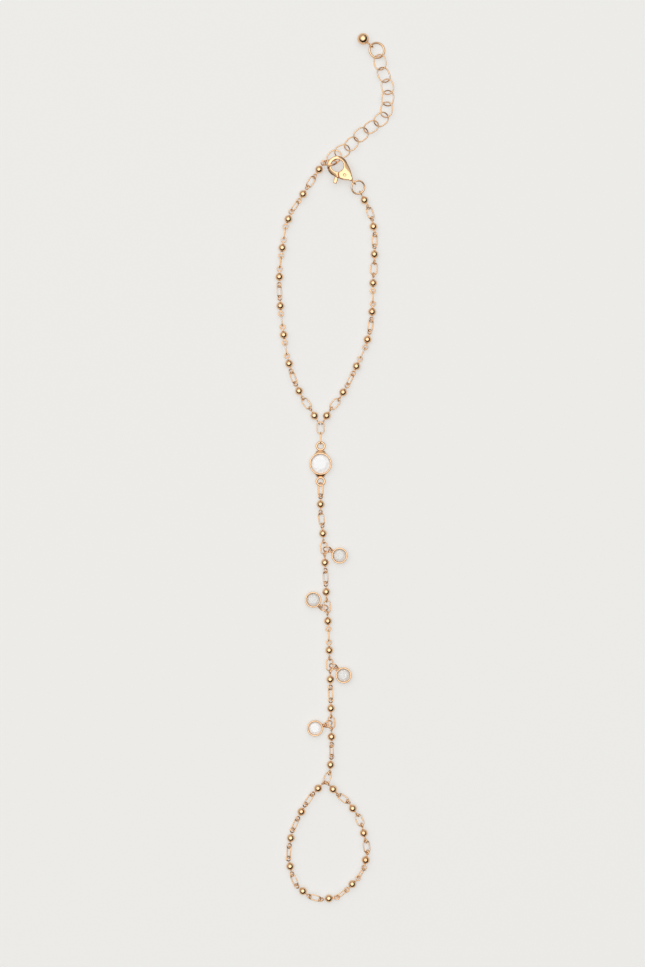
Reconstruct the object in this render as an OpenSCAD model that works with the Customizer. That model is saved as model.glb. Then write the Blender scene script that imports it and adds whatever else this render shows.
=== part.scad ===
// Hand chain bracelet laid flat: wrist loop with clasp and extender, a stone connector,
// a hand chain with four crystal drops, and a closed finger loop.
// X runs across the bracelet, Y runs from the finger loop to the extender, Z is up.

/* [Beads] */
// Diameter of a round bead
bead_d = 2.4; // [2.2:0.1:2.7]
// Bore through a bead
bead_bore = 0.6; // [0.56:0.02:0.8]
// Wire of the pin through a bead
pin_wire = 0.36; // [0.3:0.02:0.38]
// Outer diameter of the eye at each end of a pin
eye_od = 1.8; // [1.7:0.05:1.85]
// Wire of an eye
eye_wire = 0.4; // [0.34:0.02:0.42]
// Bare pin between a bead and its eye
eye_neck = 0.3; // [0.25:0.05:0.4]

/* [Oval links] */
// Outer length of an oval link
link_length = 4; // [3.95:0.05:4.2]
// Outer width of an oval link
link_width = 2.4; // [2.35:0.05:2.4]
// Wire of an oval link
link_wire = 0.38; // [0.3:0.02:0.4]

/* [Connector] */
// Outer diameter of the connector's rim
connector_d = 6.7; // [6.2:0.1:7.5]
// Width of the connector's rim where it meets a loop
connector_neck_width = 2.2; // [1.8:0.1:2.8]
// Neck between the connector's rim and a loop
connector_neck = 0.45; // [0.2:0.05:0.8]
// Outer diameter of the connector's two loops
connector_loop_d = 3; // [2.9:0.1:3.3]
// Wire of the connector's loops
connector_loop_wire = 0.68; // [0.56:0.02:0.7]
// Outer length of the narrow ring below the connector
narrow_ring_length = 4.5; // [4.3:0.1:4.9]
// Outer width of the narrow ring below the connector
narrow_ring_width = 2.6; // [2.4:0.1:2.9]
// Wire of the narrow ring below the connector
narrow_ring_wire = 0.44; // [0.38:0.02:0.46]

/* [Drops] */
// Outer diameter of a drop's rim
drop_d = 4.8; // [4.4:0.1:5.2]
// Outer diameter of a drop's loop
drop_loop_d = 1.7; // [1.65:0.05:1.9]
// Wire of a drop's loop
drop_loop_wire = 0.4; // [0.34:0.02:0.42]
// Outer diameter of a drop's jump ring
drop_ring_d = 2.9; // [2.8:0.05:3.1]
// Wire of a drop's jump ring
drop_ring_wire = 0.44; // [0.36:0.02:0.46]

/* [Rims and stones] */
// Height of the rims
rim_height = 1.8; // [1.6:0.1:2]
// Wall of the rims
rim_wall = 0.44; // [0.4:0.02:0.5]
// Chamfer on the edges of the rims
rim_chamfer = 0.1; // [0.05:0.01:0.14]
// Gap between a stone and its rim
stone_gap = 0.08; // [0.05:0.01:0.1]
// Depth to which a stone's edge sits in the wall of its rim
stone_seat = 0.14; // [0.1:0.02:0.16]
// Height of a stone's crown above its edge
crown_height = 0.6; // [0.4:0.05:0.75]
// Depth of a stone's back below its edge
back_depth = 0.7; // [0.5:0.05:0.75]
// Table of a stone as a share of its diameter
table_share = 0.56; // [0.4:0.02:0.7]

/* [Clasp] */
// Length from the middle of the clasp's eyelet to the tip of its hook
clasp_length = 9.9; // [9.7:0.1:10.3]
// Diameter of the clasp's head
head_d = 6.1; // [6:0.1:6.4]
// Diameter of the hole in the clasp's head
hole_d = 3.9; // [3.8:0.1:4]
// Greatest thickness of the clasp
clasp_thick = 2.2; // [2:0.1:2.4]
// Radius of the domed faces of the clasp
dome_r = 5.5; // [5:0.5:8]
// Outer diameter of the clasp's eyelet
eyelet_d = 2; // [1.9:0.05:2.2]
// Wire of the clasp's eyelet
eyelet_wire = 0.44; // [0.36:0.02:0.46]
// Diameter of the rivet
rivet_d = 0.7; // [0.6:0.05:0.8]
// Clearance of the rivet in the lever
rivet_gap = 0.05; // [0.02:0.01:0.08]
// Thickness of the lever's tongue in the body's slot
tongue_thick = 0.8; // [0.6:0.05:0.9]
// Clearance between the lever and the body
lever_gap = 0.12; // [0.1:0.01:0.15]
// Width of the lever's thumb tab
tab_width = 1; // [0.8:0.1:1.2]
// Length of the lever's thumb tab
tab_length = 2.2; // [1.8:0.1:2.4]
// Outer diameter of the two jump rings at the clasp
jump_ring_d = 4.5; // [4.4:0.1:4.7]
// Wire of the two jump rings at the clasp
jump_ring_wire = 0.56; // [0.5:0.02:0.6]

/* [Extender] */
// Outer length of an extender link
extender_length = 5; // [4.9:0.05:5.2]
// Outer width of an extender link
extender_width = 4.1; // [4:0.05:4.3]
// Wire of an extender link
extender_wire = 0.4; // [0.34:0.02:0.42]
// Outer diameter of the ring at the extender's end
tail_ring_d = 5.2; // [5:0.1:5.4]
// Wire of the ring at the extender's end
tail_ring_wire = 0.66; // [0.56:0.02:0.7]
// Diameter of the extender's ball
ball_d = 3.5; // [3.2:0.1:3.8]
// Outer diameter of the ball's eye
ball_eye_d = 2.1; // [2:0.05:2.3]
// Wire of the ball's eye
ball_eye_wire = 0.46; // [0.4:0.02:0.5]

/* [Hidden] */

$fn = 48;
gold = "#E6BE7A";
crystal = "#F4F6F8";

// Chosen points of the route, in mm from the middle of the junction link's upper bow.
// A row is a bead's X and Y, and the roll of the link that follows it: 0 lies flat, 90 on edge.
// They are drawn for a chain whose beads stand route_pitch apart when it is pulled taut.
route_pitch = 8.84;
route_left = [[-1.9, 2.9, 25], [-6.5, 10.3, 50], [-9.5, 18.5, 90], [-11.1, 27.1, 90],
              [-12.1, 35.8, 55], [-12.4, 44.5, 85], [-11.5, 53.2, 90], [-9.7, 61.8, 65],
              [-5.3, 69.3, 40], [-0.5, 76.6, 0]];
route_right = [[1.9, 2.9, 15], [6.8, 9.9, 60], [10.8, 17.7, 90], [14.1, 25.7, 50],
               [15.5, 34, 90], [15.8, 42.6, 20], [16.2, 51.2, 45], [15.9, 59.5, 30],
               [13.2, 67.4, 0]];
route_hand = [[0, -24.2, 40], [0.7, -32.9, -15], [1.3, -41.6, 50], [1.7, -50.3, 15],
              [2.2, -59, 90], [2.6, -67.7, -15], [2.9, -76.4, 55], [3.1, -85, 15],
              [3.3, -93.5, 60], [3, -101.8, 0]];
route_finger = [[-0.7, -108.9, 55], [-5.7, -115.9, 60], [-8.9, -123.8, 60], [-9.1, -132.3, 45],
                [-5.3, -139.7, 35], [2.5, -141.9, 60], [9.5, -137.6, 65], [13.5, -130.4, 30],
                [12.9, -122.3, 20], [9.6, -114.9, 40], [3.7, -109.1, 0]];
// Points where the extender's links meet, from the ring at its end, and the roll of the link that follows
route_extender = [[17.45, 110.9, 22], [18.2, 107, -22], [19.7, 103.3, 22], [20.4, 99.9, -22],
                  [19.9, 96.4, 22], [19.6, 93, -22], [16.7, 90.6, 22], [13.6, 88.4, -22],
                  [10.6, 86, 22], [7.9, 82.85, -21], [5.1, 81.6, 0]];

// Clearance kept between wires that pass through each other
wire_gap = 0.1;
// How far two soldered pieces run into each other
bite = 0.1;
axis_z = bead_d / 2;
eye_reach = bead_d / 2 + eye_neck + eye_od / 2;
link_reach = (link_length - link_wire) / 2;
bow_r = (link_width - link_wire) / 2;
bow_at = link_reach - bow_r;
// How far a taut eye's middle stands beyond the bow that it hangs on
eye_pull = eye_od / 2 - eye_wire - link_wire / 2 - wire_gap;
pitch = 2 * (eye_reach + link_reach + eye_pull);
stretch = pitch / route_pitch;

function unit(v) = v / norm(v);
function flat(v) = [v.x, v.y];
function bearing(v) = atan2(v.y, v.x);
function level(p, z) = [p.x, p.y, z];
function heading(angle, z = 0) = let(run = sqrt(1 - z * z)) [run * cos(angle), run * sin(angle), z];

// A frame is a middle, the direction of its local X, and a roll about that direction.
function rolled(v, a) = [v.x, v.y * cos(a) - v.z * sin(a), v.y * sin(a) + v.z * cos(a)];
function pitched(v, a) = [v.x * cos(a) - v.z * sin(a), v.y, v.x * sin(a) + v.z * cos(a)];
function turned(v, a) = [v.x * cos(a) - v.y * sin(a), v.x * sin(a) + v.y * cos(a), v.z];
function rise(direction) = asin(unit(direction).z);
function aimed(v, frame) = turned(pitched(rolled(v, frame[2]), rise(frame[1])), bearing(frame[1]));
function placed(v, frame) = frame[0] + aimed(v, frame);
// The roll that turns a ring lying along direction until a wire along wire passes squarely through it
function roll_for(direction, wire) =
    let(back = pitched(turned(wire, -bearing(direction)), -rise(direction)))
    atan2(-back.y, back.z);

module lay(frame) {
    translate(frame[0] - middle)
        rotate([0, -rise(frame[1]), bearing(frame[1])])
            rotate([frame[2], 0, 0])
                children();
}

// Round and oval rings
function on_oval(length, width, wire, angle) =
    let(r = (width - wire) / 2) [sign(cos(angle)) * (length - width) / 2 + r * cos(angle), r * sin(angle), 0];
function along_bow(angle) = [-sin(angle), cos(angle), 0];

module ring(outer_d, wire) {
    rotate_extrude()
        translate([(outer_d - wire) / 2, 0])
            circle(d = wire);
}

module oval(length, width, wire) {
    straight = length - width;
    for (side = [-1, 1]) {
        translate([side * straight / 2, 0, 0])
            rotate([0, 0, -side * 90])
                rotate_extrude(angle = 180)
                    translate([(width - wire) / 2, 0])
                        circle(d = wire);
        translate([-straight / 2, side * (width - wire) / 2, 0])
            rotate([0, 90, 0])
                cylinder(h = straight, d = wire);
    }
}

// Strands of beads
// The place of a bead that hangs by its eye on a hold, in the direction of a chosen point.
// Its pin slopes until the eye at its other end is back at the height of the chain.
function hung(bead, hold) =
    let(lift = (hold.z - axis_z) / 2, run = sqrt(eye_reach * eye_reach - lift * lift))
    level(flat(hold) + run * unit(flat(bead) - flat(hold)), axis_z + lift);
// A strand runs from a hold to a hold. A hold is a point on a wire and that wire's direction.
function strand(route, from, to) =
    let(last = len(route) - 1,
        raw = [for (row = route) stretch * flat(row)],
        first = hung(raw[0], from[0]),
        final = hung(raw[last], to[0]))
    [for (i = [0:last])
        i == 0 ? first : i == last ? final
        : level(raw[i] + (flat(first) - raw[0]) * (1 - i / last) + (flat(final) - raw[last]) * i / last, axis_z)];

function pin_direction(beads, from, to, i) =
    i == 0 ? unit(beads[0] - from[0])
    : i == len(beads) - 1 ? unit(to[0] - beads[i])
    : unit(beads[i + 1] - beads[i - 1]);

function link_frame(route, beads, from, to, i) =
    let(here = beads[i] + eye_reach * pin_direction(beads, from, to, i),
        there = beads[i + 1] - eye_reach * pin_direction(beads, from, to, i + 1))
    [(here + there) / 2, there - here, route[i][2]];

module bead() {
    rotate([0, 90, 0])
        difference() {
            sphere(d = bead_d);
            cylinder(h = 2 * bead_d, d = bead_bore, center = true);
        }
}

// The eyes lie at both ends of the pin, each at its own roll.
module eye_pin(roll_back, roll_ahead) {
    shank = 2 * eye_reach - (eye_od - eye_wire);
    rotate([0, 90, 0])
        cylinder(h = shank, d = pin_wire, center = true);
    for (end = [[-1, roll_back], [1, roll_ahead]])
        translate([end[0] * eye_reach, 0, 0])
            rotate([end[1], 0, 0])
                ring(eye_od, eye_wire);
}

module bead_chain(route, from, to) {
    beads = strand(route, from, to);
    last = len(beads) - 1;
    for (i = [0:last]) {
        direction = pin_direction(beads, from, to, i);
        back = i == 0 ? roll_for(direction, from[1]) : route[i - 1][2] + 90;
        ahead = i == last ? roll_for(direction, to[1]) : route[i][2] + 90;
        lay([beads[i], direction, 0]) {
            bead();
            eye_pin(back, ahead);
        }
    }
    for (i = [0:last - 1])
        lay(link_frame(route, beads, from, to, i))
            oval(link_length, link_width, link_wire);
}

// A point on the bow of an oval ring, and the wire's direction there, make a hold.
function oval_hold(frame, length, width, wire, angle) =
    [placed(on_oval(length, width, wire, angle), frame), aimed(along_bow(angle), frame)];
function link_hold(frame, angle) = oval_hold(frame, link_length, link_width, link_wire, angle);
function ring_hold(frame, outer_d, wire, angle) = oval_hold(frame, outer_d, outer_d, wire, angle);

// Junction, connector and the ring below it
// Angle between the link's length and the points where two strands hang on one bow
fork_angle = 40;
junction_frame = [[0, -bow_at, axis_z], [0, 1, 0], 0];
upper_drop = 2 * link_reach - link_wire - wire_gap;
upper_frame = [junction_frame[0] - [0, upper_drop, 0], [0, 1, 0], 90];
connector_loop_hole = connector_loop_d / 2 - connector_loop_wire;
upper_loop_y = upper_frame[0].y - link_reach + link_wire / 2 + wire_gap - connector_loop_hole;
connector_reach = connector_d / 2 + connector_neck + connector_loop_d / 2;
connector_at = [0, upper_loop_y - connector_reach, rim_height / 2];
narrow_reach = (narrow_ring_length - narrow_ring_wire) / 2;
narrow_drop = connector_loop_hole - narrow_ring_wire / 2 - 2 * wire_gap + narrow_reach;
narrow_roll = 52;
narrow_frame = [[0, connector_at.y - connector_reach - narrow_drop, axis_z], [0, -1, 0], narrow_roll];

left_start = link_hold(junction_frame, fork_angle);
right_start = link_hold(junction_frame, -fork_angle);
hand_start = oval_hold(narrow_frame, narrow_ring_length, narrow_ring_width, narrow_ring_wire, 0);

// The finger loop's link hangs tilted on the last bead of the hand chain.
finger_link_roll = 30;
finger_link_bearing = -113;
finger_link_frame = [level(stretch * [2, -105.9], axis_z + 0.33), heading(finger_link_bearing), finger_link_roll];
hand_end = link_hold(finger_link_frame, 180);
finger_start = link_hold(finger_link_frame, -fork_angle + 8);
finger_end = link_hold(finger_link_frame, fork_angle + 20);

module wrist_chain_left() color(gold) bead_chain(route_left, left_start, left_end);
module wrist_chain_right() color(gold) bead_chain(route_right, right_start, right_end);
module hand_chain() color(gold) bead_chain(route_hand, hand_start, hand_end);
module finger_chain() color(gold) bead_chain(route_finger, finger_start, finger_end);
module junction_link() color(gold) lay(junction_frame) oval(link_length, link_width, link_wire);
module upper_link() color(gold) lay(upper_frame) oval(link_length, link_width, link_wire);
module finger_link() color(gold) lay(finger_link_frame) oval(link_length, link_width, link_wire);
module narrow_ring() {
    color(gold)
        lay(narrow_frame)
            oval(narrow_ring_length, narrow_ring_width, narrow_ring_wire);
}

// Rims and stones
// Thickness of a stone's edge
girdle = 0.1;
function stone_r(rim_d) = rim_d / 2 - rim_wall + stone_seat;

// A channel rim: a short tube whose bore has a groove for the stone's edge.
module rim(rim_d) {
    outer = rim_d / 2;
    bore = outer - rim_wall;
    groove = stone_r(rim_d) + stone_gap;
    land = girdle / 2 + stone_gap;
    mid = rim_height / 2;
    slope = groove - bore;
    rotate_extrude()
        polygon([[bore, rim_chamfer - mid], [bore + rim_chamfer, -mid], [outer - rim_chamfer, -mid],
                 [outer, rim_chamfer - mid], [outer, mid - rim_chamfer], [outer - rim_chamfer, mid],
                 [bore + rim_chamfer, mid], [bore, mid - rim_chamfer], [bore, land + slope],
                 [groove, land], [groove, -land], [bore, -land - slope]]);
}

// A double-faced cut stone: tables above and below, eight main facets and eight breaks each side.
module cut_stone(rim_d) {
    r = stone_r(rim_d);
    skin = 0.01;
    break_share = 0.6;
    back_table_share = 0.8 * table_share;
    hull() {
        for (face = [[crown_height, table_share], [-back_depth, back_table_share]]) {
            translate([0, 0, face[0] - (face[0] > 0 ? skin : 0)])
                linear_extrude(skin)
                    circle(r * face[1], $fn = 8);
            translate([0, 0, face[0] * break_share])
                rotate([0, 0, 22.5])
                    linear_extrude(skin)
                        circle(r * (1 + face[1]) / 2, $fn = 8);
        }
        rotate([0, 0, 11.25])
            linear_extrude(girdle, center = true)
                circle(r, $fn = 16);
    }
}

module connector_setting() {
    outer = connector_d / 2;
    shoulder = [0.8 * outer, 0.58 * outer];
    neck = [connector_neck_width / 2, outer + connector_neck + bite];
    bore_d = connector_d - rim_wall;
    loop_z = axis_z - connector_at.z;
    color(gold)
        lay([connector_at, [1, 0, 0], 0]) {
            rim(connector_d);
            for (side = [-1, 1]) {
                difference() {
                    translate([0, 0, -rim_height / 2 + rim_chamfer])
                        linear_extrude(rim_height - 2 * rim_chamfer)
                            polygon([[-shoulder.x, side * shoulder.y], [shoulder.x, side * shoulder.y],
                                     [neck.x, side * neck.y], [-neck.x, side * neck.y]]);
                    cylinder(h = 2 * rim_height, d = bore_d, center = true);
                    translate([0, side * connector_reach, 0])
                        cylinder(h = 2 * rim_height, d = connector_loop_d - connector_loop_wire, center = true);
                }
                translate([0, side * connector_reach, loop_z])
                    ring(connector_loop_d, connector_loop_wire);
            }
        }
}

module connector_stone() color(crystal) lay([connector_at, [1, 0, 0], 0]) cut_stone(connector_d);

// Drops
// Each row: the hand chain's link that the drop hangs on, the shift of the jump ring's middle along
// and across that link, the ring's bearing and roll, the angle on it of the drop's loop, the drop's bearing
drops = [
    [1, [0.45, 0.98], -20, 50, 0, -30],
    [3, [0.3, -0.98], 165, 50, 0, 135],
    [5, [0.45, 1.03], -32, 50, 0, -45],
    [7, [0.35, -0.98], -160, 50, 0, -162]
];
hand_beads = strand(route_hand, hand_start, hand_end);
drop_z = rim_height / 2;
drop_ring_r = (drop_ring_d - drop_ring_wire) / 2;

function drop_ring_frame(row) =
    let(link = link_frame(route_hand, hand_beads, hand_start, hand_end, row[0]),
        ahead = unit(level(link[1], 0)),
        across = [-ahead.y, ahead.x, 0],
        middle = link[0] + ahead * row[1].x + across * row[1].y)
    [level(middle, axis_z), heading(row[2], (drop_z - axis_z) / drop_ring_r), row[3]];
function drop_hold(row) = ring_hold(drop_ring_frame(row), drop_ring_d, drop_ring_wire, row[4]);

module drop_ring(i) {
    color(gold)
        lay(drop_ring_frame(drops[i]))
            ring(drop_ring_d, drop_ring_wire);
}

function drop_frame(row) = [drop_hold(row)[0], heading(row[5]), 0];
// The loop sinks most of its wire into the rim.
drop_reach = (drop_loop_d + drop_d) / 2 - 0.8 * drop_loop_wire;

module drop_setting(i) {
    frame = drop_frame(drops[i]);
    color(gold)
        lay(frame) {
            difference() {
                rotate([roll_for(frame[1], drop_hold(drops[i])[1]), 0, 0])
                    ring(drop_loop_d, drop_loop_wire);
                translate([drop_reach, 0, 0])
                    cylinder(h = 2 * rim_height, r = (drop_d - rim_wall / 2) / 2, center = true);
            }
            translate([drop_reach, 0, 0])
                rim(drop_d);
        }
}

module drop_stone(i) {
    color(crystal)
        lay(drop_frame(drops[i]))
            translate([drop_reach, 0, 0])
                cut_stone(drop_d);
}

// Clasp and its rings
// The clasp's own frame starts in the middle of its eyelet and points to the tip of its hook.
clasp_z = 2.4;
// Clearance of the rivet in the body, where it is pressed home
rivet_seat = 0.01;
clasp_bearing = 132;
jump_r = (jump_ring_d - jump_ring_wire) / 2;
clasp_ring_frame = [level(stretch * [11.2, 71.3], (clasp_z + axis_z) / 2),
                    heading(clasp_bearing, (clasp_z - axis_z) / (2 * jump_r)), 0];
right_end = ring_hold(clasp_ring_frame, jump_ring_d, jump_ring_wire, 164);
clasp_frame = [ring_hold(clasp_ring_frame, jump_ring_d, jump_ring_wire, 0)[0], heading(clasp_bearing), 0];

head_r = head_d / 2;
head_at = [clasp_length - head_r, 0.4];
hole_at = head_at + [0.15, -0.1];
pivot = [3.4, 0.6];
// Half the width of the clasp behind its eyelet
tail_r = 0.75;
// How far the clasp's sides bulge out, at its back and at its lever
back_bulge = 0.24;
lever_bulge = 0.4;
// The lever's tip and its root, measured from the pivot; the tip laps the hole's far edge from inside.
tip_lap = 0.35;
lever_tip_r = norm(hole_at - pivot) + hole_d / 2 - tip_lap;
lever_root_r = 2;
// The lever runs from the nose round to the belly, measured about the pivot.
lever_from = 0;
lever_to = 110;
// The round knuckle of the lever's tongue
knuckle_r = 0.85;
// Where the thumb tab starts inside the lever, and its direction, seen from the pivot
tab_at = [1.35, 1.9];
tab_lean = 120;

// A slice of a disc as far as the clasp reaches
module wedge(from, to) {
    r = clasp_length;
    polygon([[0, 0], [r * cos(from), r * sin(from)], [r * cos((from + to) / 2), r * sin((from + to) / 2)] * 1.5,
             [r * cos(to), r * sin(to)]]);
}

// Points of a side that bulges out, to the right of the way from one end to the other
function bulged(from, to, bulge) =
    let(side = unit(to - from))
    [for (t = [0:0.2:1]) from + t * (to - from) + 4 * bulge * t * (1 - t) * [side.y, -side.x]];

module clasp_outline() {
    lean = asin((head_r - tail_r) / norm(head_at));
    // The sides leave the head a little inside its circle.
    shoulder = 0.97 * head_r;
    back = eyelet_d / 2 - bite;
    tail_x = 2.2 * tail_r;
    translate(head_at)
        circle(d = head_d);
    polygon(concat([[back, -0.6 * tail_r]],
                   bulged([tail_x, -tail_r], head_at + shoulder * [-sin(lean), -cos(lean)], back_bulge),
                   bulged(head_at + shoulder * [-sin(lean), cos(lean)], [tail_x, tail_r], lever_bulge),
                   [[back, 0.6 * tail_r]]));
}

module clasp_hole() translate(hole_at) circle(d = hole_d);

// Rounds both faces across the clasp and thins them toward the nose.
module domed() {
    dome_y = 0.35;
    taper_r = 48;
    intersection() {
        children();
        translate([0, dome_y, clasp_thick / 2 - dome_r])
            rotate([0, 90, 0])
                cylinder(h = 4 * clasp_length, r = dome_r, center = true, $fn = 96);
        translate([0, dome_y, dome_r - clasp_thick / 2])
            rotate([0, 90, 0])
                cylinder(h = 4 * clasp_length, r = dome_r, center = true, $fn = 96);
        translate([pivot.x, 0, clasp_thick / 2 - taper_r])
            rotate([90, 0, 0])
                cylinder(h = 2 * clasp_length, r = taper_r, center = true, $fn = 360);
        translate([pivot.x, 0, taper_r - clasp_thick / 2])
            rotate([90, 0, 0])
                cylinder(h = 2 * clasp_length, r = taper_r, center = true, $fn = 360);
    }
}

module clasp_body() {
    slot = tongue_thick + 2 * lever_gap;
    color(gold)
        lay(clasp_frame) {
            rotate([90, 0, 0])
                ring(eyelet_d, eyelet_wire);
            difference() {
                domed()
                    linear_extrude(clasp_thick, center = true)
                        difference() {
                            clasp_outline();
                            clasp_hole();
                            translate(pivot)
                                intersection() {
                                    wedge(lever_from - 4, lever_to + 2);
                                    difference() {
                                        circle(lever_tip_r + lever_gap);
                                        circle(lever_root_r - lever_gap);
                                    }
                                }
                        }
                translate(pivot) {
                    linear_extrude(slot, center = true) {
                        circle(knuckle_r + 2 * lever_gap);
                        intersection() {
                            wedge(lever_from - 20, lever_to + 15);
                            circle(lever_root_r + lever_gap);
                        }
                    }
                    cylinder(h = 2 * clasp_thick, d = rivet_d + 2 * rivet_seat, center = true);
                }
            }
        }
}

module clasp_lever() {
    color(gold)
        lay(clasp_frame) {
            domed()
                linear_extrude(clasp_thick, center = true)
                    intersection() {
                        difference() {
                            clasp_outline();
                            clasp_hole();
                        }
                        translate(pivot)
                            intersection() {
                                wedge(lever_from, lever_to);
                                difference() {
                                    circle(lever_tip_r);
                                    circle(lever_root_r);
                                }
                            }
                    }
            translate(pivot) {
                linear_extrude(tongue_thick, center = true)
                    difference() {
                        union() {
                            circle(knuckle_r);
                            intersection() {
                                wedge(28, 62);
                                circle(lever_root_r + 3 * bite);
                            }
                        }
                        circle(d = rivet_d + 2 * rivet_gap);
                    }
                linear_extrude(tongue_thick, center = true)
                    translate(tab_at)
                        rotate([0, 0, tab_lean])
                            translate([0, -tab_width / 2])
                                square([tab_length, tab_width]);
            }
        }
}

module clasp_rivet() {
    color(gold)
        lay(clasp_frame)
            translate(pivot)
                cylinder(h = clasp_thick - bite, d = rivet_d, center = true);
}

module clasp_ring() color(gold) lay(clasp_ring_frame) ring(jump_ring_d, jump_ring_wire);

end_ring_frame = [placed([9.2, 1.3, -0.35], clasp_frame), heading(clasp_bearing + 50), 62];
left_end = ring_hold(end_ring_frame, jump_ring_d, jump_ring_wire, 0);
module end_ring() color(gold) lay(end_ring_frame) ring(jump_ring_d, jump_ring_wire);

// Extender
// The links lie turned by 22 degrees to one side and the other, with their lower sides on the ground.
extender_z = extender_wire / 2 + (extender_width - extender_wire) / 2 * sin(22);
// The last link hangs higher, on the ring at the clasp.
last_extender_frame = [level(stretch * [4.05, 80.4], 0.96), heading(-131, 0.1), 0];

module extender_chain() {
    last = len(route_extender) - 1;
    color(gold) {
        for (i = [0:last - 1])
            lay(extender_frame(i))
                oval(extender_length, extender_width, extender_wire);
        lay(last_extender_frame)
            oval(extender_length, extender_width, extender_wire);
    }
}

tail_ring_frame = [level(stretch * [16.9, 112.5], 0.93), heading(-73), -15];
ball_hold = ring_hold(tail_ring_frame, tail_ring_d, tail_ring_wire, -143);
// Neck between the ball and its eye, and the neck's thickness
ball_neck = 0.3;
ball_neck_d = 1.3 * ball_eye_wire;
ball_reach = ball_d / 2 + ball_neck + ball_eye_d / 2;
ball_direction = heading(140, (ball_d / 2 - ball_hold[0].z) / ball_reach);

module tail_ring() color(gold) lay(tail_ring_frame) ring(tail_ring_d, tail_ring_wire);

module tail_ball() {
    color(gold)
        lay([ball_hold[0], ball_direction, 0]) {
            rotate([90, 0, 0])
                ring(ball_eye_d, ball_eye_wire);
            translate([(ball_eye_d - ball_eye_wire) / 2, 0, 0])
                rotate([0, 90, 0])
                    cylinder(h = ball_reach - ball_eye_d / 2, d = ball_neck_d);
            translate([ball_reach, 0, 0])
                sphere(d = ball_d);
        }
}

// The part's origin: the middle of the whole piece at the floor
function extender_frame(i) =
    let(here = level(stretch * flat(route_extender[i]), extender_z),
        there = level(stretch * flat(route_extender[i + 1]), extender_z))
    [(here + there) / 2, there - here, route_extender[i][2]];
function extender_right(frame) =
    let(ahead = unit(frame[1]), tilt = ahead.y * sin(frame[2]))
    frame[0].x + (extender_length - extender_width) / 2 * abs(ahead.x) + extender_wire / 2
    + (extender_width - extender_wire) / 2 * sqrt(1 - tilt * tilt);
most_left = min([for (bead = strand(route_left, left_start, left_end)) bead.x]) - bead_d / 2;
most_right = max([for (i = [0:len(route_extender) - 2]) extender_right(extender_frame(i))]);
most_low = min([for (bead = strand(route_finger, finger_start, finger_end)) bead.y]) - bead_d / 2;
most_high = ball_hold[0].y + ball_reach * ball_direction.y + ball_d / 2;
middle = [(most_left + most_right) / 2, (most_low + most_high) / 2, 0];

wrist_chain_left();
wrist_chain_right();
junction_link();
upper_link();
connector_setting();
connector_stone();
narrow_ring();
hand_chain();
finger_link();
finger_chain();
drop_ring(0);  // drop_ring_1
drop_ring(1);  // drop_ring_2
drop_ring(2);  // drop_ring_3
drop_ring(3);  // drop_ring_4
drop_setting(0);  // drop_setting_1
drop_setting(1);  // drop_setting_2
drop_setting(2);  // drop_setting_3
drop_setting(3);  // drop_setting_4
drop_stone(0);  // drop_stone_1
drop_stone(1);  // drop_stone_2
drop_stone(2);  // drop_stone_3
drop_stone(3);  // drop_stone_4
clasp_ring();
clasp_body();
clasp_lever();
clasp_rivet();
end_ring();
extender_chain();
tail_ring();
tail_ball();
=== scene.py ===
"""A hand chain bracelet in polished gold plate with cut crystal stones, laid flat on pale paper.

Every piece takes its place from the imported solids. The chains' solids are split into beads, eye pins
and links, and a finely modelled copy of each stands where its solid lies.
"""
import logging
import math
from collections.abc import Callable, Iterable, Sequence
from dataclasses import dataclass
from enum import Enum

import bpy
import numpy as np
from mathutils import Matrix, Vector


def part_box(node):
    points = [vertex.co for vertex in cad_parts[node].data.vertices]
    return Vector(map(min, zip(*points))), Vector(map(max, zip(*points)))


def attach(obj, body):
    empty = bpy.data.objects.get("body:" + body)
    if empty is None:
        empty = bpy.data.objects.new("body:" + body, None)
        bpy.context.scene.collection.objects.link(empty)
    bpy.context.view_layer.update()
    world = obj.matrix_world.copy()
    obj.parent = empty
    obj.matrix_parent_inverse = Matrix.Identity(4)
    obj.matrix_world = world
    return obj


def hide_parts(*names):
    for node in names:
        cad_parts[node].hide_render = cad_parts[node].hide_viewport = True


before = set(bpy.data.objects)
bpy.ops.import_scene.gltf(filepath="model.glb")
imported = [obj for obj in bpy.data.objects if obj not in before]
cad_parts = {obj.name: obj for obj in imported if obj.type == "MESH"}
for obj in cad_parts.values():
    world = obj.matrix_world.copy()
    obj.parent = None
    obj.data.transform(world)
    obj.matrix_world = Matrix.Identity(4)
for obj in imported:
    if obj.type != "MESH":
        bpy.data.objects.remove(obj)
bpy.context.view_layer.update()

LOG = logging.getLogger("hand_chain")
MM = 0.001
HAIR = 0.001 * MM  # shorter lengths count as none
BEAD_HEIGHT = 1.2 * MM  # how high the middle of the beads and of the connector's loops lies
BEAD_ROUNDNESS = 0.9  # a solid that is thicker than this share of its length is a bead
PIN_SLIMNESS = 2.2  # a solid that is longer than this many widths is a pin, and else a link
DROPS = (1, 2, 3, 4)  # from the connector to the finger
# the drop whose stone gets the crystal with the painted white reflection
WHITE_DROP = 4  # its stone lies square to the light


class Shape(Enum):
    """What a loose solid of a chain node is."""

    BEAD = "bead"
    PIN = "eye pin"
    LINK = "oval link"


class Element(Enum):
    """What of a mesh is selected in edit mode."""

    VERTEX = "VERT"
    EDGE = "EDGE"
    FACE = "FACE"


class Body(Enum):
    """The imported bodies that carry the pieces."""

    BRACELET = "bracelet"
    LEVER = "lever"


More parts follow.
